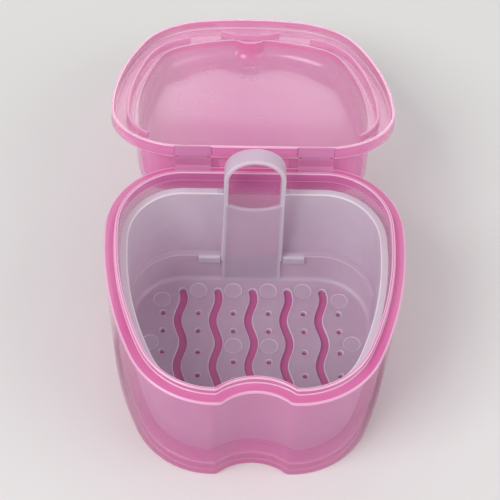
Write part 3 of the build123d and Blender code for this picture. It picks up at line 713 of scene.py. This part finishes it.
def handle_band():
    """Legs and arch: an oblong section, thin across and deep from front to back,
    carried up one leg, over a half circle and down the other, and turned to stand
    square to the way it goes."""
    arch, thin = HANDLE_W / 2, HANDLE_T / 2
    spring, mid = HANDLE_TOP_Z - arch, arch - thin
    up = np.linspace(17.0, spring, 40)
    half = np.interp(up, (STAND_Z, RIM_Z, spring), (HANDLE_FOOT_W / 2, arch, arch)) - thin
    t = np.linspace(0, np.pi, 42)[1:-1]
    x = np.concatenate([-half, -mid * np.cos(t), half[::-1]])
    z = np.concatenate([up, spring + mid * np.sin(t), up[::-1]])
    d = np.stack([np.gradient(x), np.gradient(z)], 1)
    d /= np.linalg.norm(d, axis=1, keepdims=True)
    side = np.stack([-d[:, 1], d[:, 0]], 1)
    front = handle_front(z)
    back = np.interp(z, *LEG_BACKS)
    across, along = oblong(thin, ((back - front) / 2)[:, None], 0.4, 32, 4)
    return np.stack([x[:, None] + side[:, :1] * across, ((front + back) / 2)[:, None] + along,
                     z[:, None] + side[:, 1:] * across], -1)


def leg_flare(sign):
    """The fillet between the rim's top and a leg: a hollow quarter round in the
    front view, carried back over the rim and cut off by the leg's sloping back."""
    t = np.linspace(0, np.pi / 2, 14)
    reach, crest, sunk, back_y = HANDLE_W / 2 + FLARE_R, RIM_Z + FLARE_R, RIM_Z - 0.5, 38.9
    x = np.r_[reach - FLARE_R * np.sin(t), 9.2, 9.2, reach]
    z = np.r_[crest - FLARE_R * np.cos(t), crest, sunk, sunk]
    y = np.linspace(HANDLE_BACK_Y - 0.05, back_y - 0.05, 12)[:, None]
    top = np.minimum(z, RIM_Z + (back_y - y) * FLARE_R / (back_y - HANDLE_BACK_Y))
    return np.stack([sign * np.broadcast_to(x, top.shape), np.broadcast_to(y, top.shape), top], -1)


def handle_plate():
    """The plate between the legs: from the floor up to a sill that rises with the
    square of the distance from the middle, its rows running from the foot to the
    sill and round its thickness."""
    low, edge = 6.2, 0.5  # the plate's foot, sunk in the floor, and the sill's rounding
    u, v = np.linspace(-1, 1, 41), np.linspace(0, 1, 40)[:, None]
    x = u * np.linspace(9.9, 9.2, 40)[:, None]
    z = low + v * (WINDOW_Z + WINDOW_RISE * u ** 2 - edge - low)
    front = np.stack([x, handle_front(z), z], -1)
    t = np.linspace(0, np.pi, 9)[1:-1, None]
    top = z[-1] + edge * np.sin(t)
    round_y = handle_front(top) + HANDLE_T / 2 * (1 - np.cos(t))
    lip = np.stack([np.broadcast_to(x[-1], top.shape), round_y, top], -1)
    back = np.stack([x, handle_front(z, HANDLE_T), z], -1)[::-1]
    return np.concatenate([front, lip, back]).transpose(1, 0, 2)


def side_block(sign):
    """A small shelf under the step: a rounded oblong carried straight along x."""
    half, y = 1.2, 28.5  # half its depth, and its front face
    x = np.linspace(BLOCK_FROM_X, BLOCK_TO_X, 12)[:, None]
    across, up = oblong(half, BLOCK_H / 2, 0.35, 24)
    return np.stack(np.broadcast_arrays(sign * x, y + half + across, LEDGE_Z - BLOCK_H / 2 + up), -1)


# ---- strap hinges
def leaf_sections(profile, x, width, edge=0.25):
    """A thin moulding of constant side view: the profile (y, z) is carried across
    the strap and drawn in slightly at both ends."""
    profile = np.asarray(profile, float)
    middle = profile.mean(0)
    w = width / 2
    at = np.array([-w, -w + edge * 0.3, -w + edge, 0, w - edge, w - edge * 0.3, w])
    drawn = np.array([edge, edge * 0.3, 0, 0, 0, edge * 0.3, edge])
    size = np.abs(profile - middle).max(0)
    k = 1 - drawn[:, None, None] / size
    yz = middle + (profile - middle) * k
    return np.concatenate([np.broadcast_to((x + at)[:, None, None], yz.shape[:2] + (1,)), yz], -1)


def film_sections(x):
    """The web: a flat ribbon from the cup leaf's end to the lid leaf's, its middle
    thinner by a squared sine."""
    starts = np.array([(x, y, LEAF_TOP) for y in (LEAF_INNER, LEAF_INNER + FILM_T)])
    ends = swing([(x, y, LEAF_TOP) for y in (BACK_Y, BACK_Y - FILM_T)])
    v = np.linspace(0, 1, 13)[:, None]
    inner, outer = (a + (b - a) * v for a, b in zip(starts, ends))
    waist = 0.25 * np.sin(np.pi * v) ** 2
    inner, outer = inner + (outer - inner) * waist / 2, outer + (inner - outer) * waist / 2
    ring = np.vstack([inner, outer[::-1]])
    return ring + np.linspace(-FILM_W / 2, FILM_W / 2, 7)[:, None, None] * (1, 0, 0)


# ---- materials
def linear(colour):
    """An sRGB hex colour as linear values: each part over 12.92 in the darks, and
    elsewhere, plus 0.055 and over 1.055, to the power of 2.4."""
    c = np.array([int(colour[i:i + 2], 16) for i in (1, 3, 5)]) / 255
    return (*np.where(c <= 0.04045, c / 12.92, ((c + 0.055) / 1.055) ** 2.4), 1.0)


def node(tree, kind, settings=None, **inputs):
    """Add one node, with its settings, and its inputs set or linked by name or, as
    i and a number, by place."""
    made = tree.nodes.new(kind)
    for key, value in (settings or {}).items():
        setattr(made, key, value)
    for key, value in inputs.items():
        socket = made.inputs[int(key[1:]) if key[1:].isdigit() else key.replace("_", " ")]
        if isinstance(value, bpy.types.NodeSocket):
            tree.links.new(value, socket)
        else:
            socket.default_value = value
    return made


def fresh(name):
    """A new material with an empty node tree."""
    material = bpy.data.materials.new(name)
    material.use_nodes = True
    material.node_tree.nodes.clear()
    return material, material.node_tree


def gathered(tree, noise, spread, thin, thick, edge, added, clear, dense):
    """Colour and opacity of a moulding. The attribute "glow", a painted glow where light
    gathers, made uneven by a noise, leads from the thin walls' colour and density to the
    rims'; the attribute "light", painted highlight lines, leads from there to the edges'
    highlight colour and adds density of its own."""
    glow, light = (node(tree, "ShaderNodeAttribute", {"attribute_name": name}).outputs["Fac"]
                   for name in ("glow", "light"))
    total = {"operation": "ADD", "use_clamp": True}
    shade = node(tree, "ShaderNodeMapRange", i0=noise, i1=0.3, i2=0.7, i3=-spread, i4=spread)
    depth = node(tree, "ShaderNodeMath", total, i0=glow, i1=shade.outputs[0]).outputs[0]
    colour = node(tree, "ShaderNodeMix", {"data_type": "RGBA"}, i0=depth, i6=linear(thin), i7=linear(thick))
    lit = node(tree, "ShaderNodeMix", {"data_type": "RGBA"}, i0=light, i6=colour.outputs[2], i7=linear(edge))
    solid = node(tree, "ShaderNodeMath", {"operation": "MULTIPLY"}, i0=light, i1=added)
    alpha = node(tree, "ShaderNodeMapRange", i0=depth, i1=0.0, i2=1.0, i3=clear, i4=dense)
    alpha = node(tree, "ShaderNodeMath", total, i0=alpha.outputs[0], i1=solid.outputs[0])
    return lit.outputs[2], alpha.outputs[0]


def moulded_pink(name, pale, deep, edge, clear, dense, rough):
    """Polypropylene coloured pink and injection moulded: glossy, see-through in thin
    walls, with a painted glow that makes it deeper in colour and denser where light
    gathers at rims and feet, painted highlight lines along sharp edges, faint flow
    streaks from the gate and a very slight ripple in the surface."""
    material, tree = fresh(name)
    place = node(tree, "ShaderNodeTexCoord").outputs["Object"]
    # Flow streaks are broad, about 20 mm, and follow the height of the wall.
    stretched = node(tree, "ShaderNodeMapping", Vector=place, Scale=(1.0, 1.0, 0.35))
    flow = node(tree, "ShaderNodeTexNoise", Vector=stretched.outputs[0], Scale=50.0,
                Detail=2.0).outputs["Fac"]
    colour, alpha = gathered(tree, flow, 0.05, pale, deep, edge, 0.25, clear, dense)
    # Ripple of the tool's polish, about 6 mm from crest to crest.
    ripple = node(tree, "ShaderNodeTexNoise", Vector=place, Scale=160.0, Detail=1.0)
    bump = node(tree, "ShaderNodeBump", Strength=0.05, Distance=0.0004, Height=ripple.outputs["Fac"])
    polish = node(tree, "ShaderNodeMapRange", i0=flow, i1=0.3, i2=0.7, i3=rough * 0.8, i4=rough * 1.25)
    shader = node(tree, "ShaderNodeBsdfPrincipled", Base_Color=colour, Roughness=polish.outputs[0],
                  IOR=1.49, Alpha=alpha, Normal=bump.outputs[0], Coat_Weight=0.6, Coat_Roughness=0.05)
    node(tree, "ShaderNodeOutputMaterial", Surface=shader.outputs[0])
    return material


def moulded_natural(name, body, rim, edge, clear, dense, rough):
    """Natural polypropylene, injection moulded: milky, satin, and slightly uneven in
    how much it lets through, with a painted glow towards its second colour, painted
    highlight lines along its edges and a fine matt tool texture."""
    material, tree = fresh(name)
    place = node(tree, "ShaderNodeTexCoord").outputs["Object"]
    # Clouds in the milky body are about 14 mm wide.
    cloud = node(tree, "ShaderNodeTexNoise", Vector=place, Scale=70.0, Detail=3.0)
    colour, alpha = gathered(tree, cloud.outputs["Fac"], 0.08, body, rim, edge, 0.3, clear, dense)
    # The tool's matt grain is finer than a pixel, so it is drawn at about 1 mm.
    grain = node(tree, "ShaderNodeTexNoise", Vector=place, Scale=1000.0, Detail=2.0)
    bump = node(tree, "ShaderNodeBump", Strength=0.03, Distance=0.0001, Height=grain.outputs["Fac"])
    shader = node(tree, "ShaderNodeBsdfPrincipled", Base_Color=colour, Roughness=rough, IOR=1.49,
                  Alpha=alpha, Normal=bump.outputs[0], Subsurface_Weight=0.25, Subsurface_Scale=0.004)
    node(tree, "ShaderNodeOutputMaterial", Surface=shader.outputs[0])
    return material


# ---- settings for the user
def hex_colour(name, where, default):
    """A setting that holds a colour of some place."""
    return bpy.props.StringProperty(name=name, description=where + ", as an sRGB hex colour",
                                    default=default)


def density(name, where, default):
    """A setting that holds how much of the light one surface stops."""
    return bpy.props.FloatProperty(name=name, description="How opaque one surface of a " + where + " is",
                                   default=default, min=0.0, max=1.0, subtype="FACTOR")


def angle(name, text, degrees):
    """A setting that holds an angle."""
    return bpy.props.FloatProperty(name=name, description=text, default=math.radians(degrees),
                                   subtype="ANGLE")


class CaseFinish(bpy.types.PropertyGroup):
    """Colours and densities of the three plastics, and of their painted glow and painted highlight lines"""
    pale: hex_colour("Pale pink", "Thin walls", "#EE88C8")
    # Deep pink: the colour of the painted glow where light gathers at rims and feet.
    deep: hex_colour("Deep pink", "Rims and feet", "#F272B8")
    # Edge pink: the colour of the painted highlight lines along sharp edges.
    edge: hex_colour("Edge pink", "Sharp edges", "#FFC9E8")
    natural: hex_colour("Natural", "The basket's walls", "#E0D0E2")
    # Natural rim: the lighter colour of the basket's painted glow on its rim, outer faces and cut edges.
    rim: hex_colour("Natural rim", "The basket's rim", "#F1E6F2")
    # Natural edge: the colour of the basket's painted highlight lines.
    glint: hex_colour("Natural edge", "The basket's edges", "#FBF3FB")
    strap: hex_colour("Strap", "The hinge straps", "#EFB2D6")
    clear: density("Wall density", "thin wall", 0.34)
    dense: density("Rim density", "rim", 0.66)


class CaseStage(bpy.types.PropertyGroup):
    """The floor's colour and where the camera stands"""
    floor: hex_colour("Floor", "Floor colour", "#E9E8E6")
    distance: bpy.props.FloatProperty(name="Camera distance", default=0.4717, unit="LENGTH",
                                      description="From the camera to the middle of the case")
    lens: bpy.props.FloatProperty(name="Lens", description="Focal length of the camera, in millimetres",
                                  default=113.04)
    elevation: angle("Elevation", "Camera's angle above the floor", 55.0)
    azimuth: angle("Azimuth", "Camera's turn about the case", -2.99)
    roll: angle("Roll", "Camera's turn about its own line of sight", 3.15)


def finish(kind):
    """The material of one kind, made when it is first asked for."""
    f = bpy.context.scene.case_finish
    # Each plastic's second and third colours are those of its painted glow and its painted highlight lines.
    maker, *look = {
        "moulded_pink_polypropylene": (moulded_pink, f.pale, f.deep, f.edge, f.clear, f.dense, 0.14),
        "natural_polypropylene": (moulded_natural, f.natural, f.rim, f.glint, 0.42, 0.8, 0.36),
        "pink_strap_polypropylene": (moulded_natural, f.strap, f.pale, f.edge, 0.5, 0.75, 0.25)}[kind]
    return bpy.data.materials.get(kind) or maker(kind, *look)


# ---- operators
class CASE_OT_cup(bpy.types.Operator):
    """Make the cup with its shoulder, lip, raised floor and hollow foot"""
    bl_idname = "case.cup"
    bl_label = "Cup"

    def execute(self, context):
        rows = cup_surface()
        # Painted glow at the foot and floor, the shoulder and the lip, and painted highlight lines where the
        # profile turns sharply.
        glow = edge_glow(rows[..., 2], (0.0, 4.0), (4.5, 0.7), (SHOULDER_Z, 0.7), (LIP_TOP, 0.8))
        link("cup_shell", lathe_mesh("cup_shell", rows), "case", "pink_pp",
             finish("moulded_pink_polypropylene"), "cup", glow=skin_values(glow),
             light=skin_values(edge_light(rows)))
        return {"FINISHED"}


class CASE_OT_lid(bpy.types.Operator):
    """Make the domed lid with its skirt, plug ribs and snap beads"""
    bl_idname = "case.lid"
    bl_label = "Lid"

    def execute(self, context):
        pink = finish("moulded_pink_polypropylene")
        rows = lid_surface()
        x, y, z = rows.transpose(2, 0, 1)
        # The dome's wall is deeper in colour, most of all in the groove, 8 mm wide.
        groove = (np.exp(-np.maximum(np.abs(x) - 4.0, 0) ** 2) * (y < -24) * (z > FLANGE_UNDER + 0.2)
                  * np.clip(FLANGE_Z + DOME_FRONT_H - 0.5 - z, 0, 1))
        # Painted glow at the skirt's foot and at the flange, on top of the dome's deeper colour.
        glow = edge_glow(z, (SKIRT_LOW, 1.0), (FLANGE_Z, 0.7)) + 0.28 * (z > FLANGE_Z) + 0.35 * groove
        # Painted highlight lines, only up to just above the flange.
        light = edge_light(rows) * (z < FLANGE_Z + 1)
        shell = link("lid_shell", lathe_mesh("lid_shell", swing(rows)), "cover", "pink_pp", pink, "lid",
                     glow=skin_values(np.clip(glow, 0, 1)), light=skin_values(light))
        rings, middle = gate_mark()
        mesh = cut(shell, tube_mesh("cutter", swing(rings)))
        # Round the gate mark the painted glow is lowered and the painted highlight lines are taken away.
        near = np.linalg.norm(read(mesh.vertices, "co", 3) / MM - swing(middle), axis=1) < GATE_D / 2 + 0.25
        glow, light = (np.where(near, value, read(mesh.attributes[key].data, "value"))
                       for key, value in (("glow", 0.2), ("light", 0.0)))
        write(mesh, "POINT", glow=glow, light=light)
        mesh.set_sharp_from_angle(angle=math.radians(40))
        bars, rib = [], (FLANGE_UNDER - PLUG_H, FLANGE_UNDER + 0.06, PLUG_T)
        for sign, name in ((-1, "left"), (1, "right")):
            path = stretch(PLUG, 0.0, lambda x, y: (sign * x > PLUG_FROM_X) & (y < PLUG_TO_Y))
            bars.append((name + "_plug_rib", bar_along(*path, *rib)))
            path = stretch(SKIRT, SKIRT_T - 0.05,
                           lambda x, y: (sign * x > BEAD_X[0]) & (sign * x < BEAD_X[1]) & (y < 0))
            bars.append((name + "_snap_bead", bar_along(*path, BEAD_Z - 0.35, BEAD_Z + 0.35, 0.45, 0.2)))
        r = NOTCH_R + PLUG_INSET
        end = math.asin(CRESCENT_X / r)
        t = np.linspace(-end, end, 60)
        inward = np.stack([np.sin(t), np.cos(t)], 1)
        bars.append(("notch_rib", bar_along((0, NOTCH_Y - NOTCH_R) + r * inward, inward, *rib)))
        # The ribs and beads take an even painted glow and a share of the painted highlight colour.
        for name, sections in bars:
            link(name, tube_mesh(name, swing(sections)), "cover", "pink_pp", pink, glow=0.3, light=0.35,
                 sharp=60)
        return {"FINISHED"}


class CASE_OT_basket(bpy.types.Operator):
    """Make the strainer basket with its slots, holes and loop handle"""
    bl_idname = "case.basket"
    bl_label = "Strainer basket"

    def execute(self, context):
        natural = finish("natural_polypropylene")
        rows, light = basket_shell()
        # Painted glow at the rim and at the foot that the basket stands on.
        glow = edge_glow(rows[..., 2], (RIM_Z, 1.2), (STAND_Z, 0.8))
        shell = link("basket_shell", lathe_mesh("basket_shell", rows), "basket", "natural_pp", natural,
                     "strainer_basket", glow=skin_values(glow), light=skin_values(light))
        slots = [wavy_outline((n - (SLOT_COUNT - 1) / 2) * SLOT_PITCH) for n in range(SLOT_COUNT)]
        turns, fine = (np.linspace(0, 2 * np.pi, n, endpoint=False) for n in (28, 40))
        holes = [around((s * (c + 0.5) * SLOT_PITCH, y), HOLE_D / 2, turns)
                 for c, ys in enumerate(HOLE_ROWS) for y in ys for s in (-1, 1)]
        marks = [around((s * x, y), EJECTOR_D / 2 - 0.2, fine) for x, y in EJECTORS for s in (-1, 1)]
        # Slots and holes go through the floor, marks a little way in, each with a chamfer.
        through = 4.0, FLOOR_Z + 0.4, (FLOOR_Z - 0.25, 0.65)
        shallow = FLOOR_Z - EJECTOR_DEPTH, FLOOR_Z + 0.46, (FLOOR_Z - 0.14, 1.0)
        mesh = cut(shell, prism_mesh(slots, *through), prism_mesh(holes, *through),
                   prism_mesh(marks, *shallow), channel_mesh())
        mesh.set_sharp_from_angle(angle=math.radians(35))
        basket_glow(mesh)
        # Each handle piece and step block takes an even painted glow of its own.
        for name, sections, glow in (
                ("handle_loop", handle_band(), 0.45), ("handle_plate", handle_plate(), 0.1),
                ("left_step_block", side_block(-1), 0.8), ("right_step_block", side_block(1), 0.8),
                ("left_leg_flare", leg_flare(-1), 0.45), ("right_leg_flare", leg_flare(1), 0.45)):
            # Painted highlight lines run along the loop's front, and up the plate's sides, by the distance
            # from them.
            near = {"handle_loop": 1 - (sections[..., 1] - handle_front(sections[..., 2])) / 0.9,
                    "handle_plate": (np.abs(sections[..., 0]) - 8.6) / 0.6}.get(name, 0 * sections[..., 0])
            link(name, tube_mesh(name, sections), "basket", "natural_pp", natural, glow=glow,
                 light=0.6 * np.clip(near, 0, 1).ravel(), sharp=60)
        return {"FINISHED"}


class CASE_OT_hinges(bpy.types.Operator):
    """Make the two strap hinges: a cup leaf, a lid leaf and a thin web each"""
    bl_idname = "case.hinges"
    bl_label = "Strap hinges"

    def execute(self, context):
        pale = finish("pink_strap_polypropylene")
        outer, inner, lid_inner = LEAF_INNER + LEAF_T, BACK_Y - FOOT_REACH, BACK_Y - LEAF_T
        top, middle = SHOULDER_Z + 0.02, (LEAF_LOW + SHOULDER_Z) / 2
        cup_leaf = rounded([(inner, middle), (inner, LEAF_LOW), (outer, LEAF_LOW), (outer, LEAF_TOP),
                            (LEAF_INNER, LEAF_TOP), (LEAF_INNER, top), (inner, top), (inner, middle)],
                           [0.05, 0.25, 0.3, 0.05, 0.2, 0.2], 4)[:-1]
        lid_leaf = rounded([(lid_inner, 50.0), (lid_inner, SKIRT_LOW), (BACK_Y, SKIRT_LOW),
                            (BACK_Y, LEAF_TOP), (lid_inner, LEAF_TOP), (lid_inner, 50.0)],
                           [0.02, 0.3, 0.02, 0.02], 4)[:-1]
        for name, x in (("left", -HINGE_X), ("right", HINGE_X)):
            for part, sections, body in (
                    ("_hinge_cup_leaf", leaf_sections(cup_leaf, x, LEAF_W), "case"),
                    ("_hinge_lid_leaf", swing(leaf_sections(lid_leaf, x, LEAF_W)), "cover")):
                mesh = tube_mesh(name + part + "_dressed", sections)
                link(name + part + "_dressed", mesh, body, "hinge_pp", pale, name + part, glow=0.5, sharp=50)
            mesh = tube_mesh(name + "_hinge_web", film_sections(x))
            web = link(name + "_hinge_web", mesh, None, "hinge_pp", pale, name + "_hinge_film", glow=0.3,
                       sharp=60)
            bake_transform(web)
        return {"FINISHED"}


class CASE_OT_stage(bpy.types.Operator):
    """Make the pale floor, the soft lamps and the camera"""
    bl_idname = "case.stage"
    bl_label = "Stage"

    def execute(self, context):
        scene, s = context.scene, context.scene.case_stage
        mesh = bpy.data.meshes.new("floor")
        mesh.from_pydata([(-3, -3, 0), (3, -3, 0), (3, 3, 0), (-3, 3, 0)], [], [(0, 1, 2, 3)])
        floor = bpy.data.objects.new("floor", mesh)
        scene.collection.objects.link(floor)
        material, tree = fresh("matt_floor")
        shader = node(tree, "ShaderNodeBsdfPrincipled", Base_Color=linear(s.floor), Roughness=0.7)
        node(tree, "ShaderNodeOutputMaterial", Surface=shader.outputs[0])
        mesh.materials.append(material)

        world = bpy.data.worlds.new("studio")
        world.use_nodes = True
        world.node_tree.nodes["Background"].inputs[0].default_value = linear("#F2F2F4")
        world.node_tree.nodes["Background"].inputs[1].default_value = 0.45
        scene.world = world
        middle = Vector((0, 0.03, 0.03))
        for name, place, size, power in (("key_lamp", (-0.7, -0.5, 1.0), 0.7, 9.0),
                                         ("fill_lamp", (0.9, -0.3, 0.7), 0.9, 4.0),
                                         ("rear_lamp", (0.05, 1.0, 0.235), 0.5, 2.0)):
            lamp = bpy.data.lights.new(name, "AREA")
            lamp.size, lamp.energy = size, power
            holder = bpy.data.objects.new(name, lamp)
            holder.location = place
            holder.rotation_euler = (middle - Vector(place)).to_track_quat("-Z", "Y").to_euler()
            scene.collection.objects.link(holder)

        el, az, roll = s.elevation, s.azimuth, s.roll
        back = Vector((math.sin(az) * math.cos(el), -math.cos(az) * math.cos(el), math.sin(el)))
        right = (-back).cross(Vector((0, 0, 1))).normalized()
        up = right.cross(-back)
        right, up = (math.cos(roll) * right + math.sin(roll) * up,
                     math.cos(roll) * up - math.sin(roll) * right)
        camera = bpy.data.objects.new("camera", bpy.data.cameras.new("camera"))
        camera.data.sensor_width, camera.data.lens = 36.0, s.lens
        camera.data.clip_start, camera.data.clip_end = 0.01, 20.0
        place = Vector((-0.00217, 0.0, 0.0641)) + back * s.distance
        camera.matrix_world = Matrix.Translation(place) @ Matrix((right, up, back)).transposed().to_4x4()
        scene.collection.objects.link(camera)
        scene.camera = camera
        scene.view_settings.view_transform = "Standard"
        return {"FINISHED"}


class CASE_PT_panel(bpy.types.Panel):
    """The pieces of the denture case and its stage"""
    bl_idname = "CASE_PT_panel"
    bl_label = "Denture Case"
    bl_space_type = "VIEW_3D"
    bl_region_type = "UI"
    bl_category = "Denture Case"

    def draw(self, context):
        for group in (context.scene.case_finish, context.scene.case_stage):
            box = self.layout.box()
            for name in group.__annotations__:
                box.prop(group, name)
        for kind in OPERATORS:
            self.layout.operator(kind.bl_idname)


OPERATORS = (CASE_OT_cup, CASE_OT_lid, CASE_OT_basket, CASE_OT_hinges, CASE_OT_stage)
CLASSES = (CaseFinish, CaseStage, *OPERATORS, CASE_PT_panel)


def register():
    """Make the settings, operators and panel known to Blender."""
    for kind in CLASSES:
        bpy.utils.register_class(kind)
    bpy.types.Scene.case_finish = bpy.props.PointerProperty(type=CaseFinish)
    bpy.types.Scene.case_stage = bpy.props.PointerProperty(type=CaseStage)


def unregister():
    """Take them away again, in the opposite order."""
    del bpy.types.Scene.case_stage
    del bpy.types.Scene.case_finish
    for kind in reversed(CLASSES):
        bpy.utils.unregister_class(kind)


def main():
    register()
    for step in (bpy.ops.case.cup, bpy.ops.case.lid, bpy.ops.case.basket, bpy.ops.case.hinges,
                 bpy.ops.case.stage):
        step()


if __name__ == "__main__":
    main()
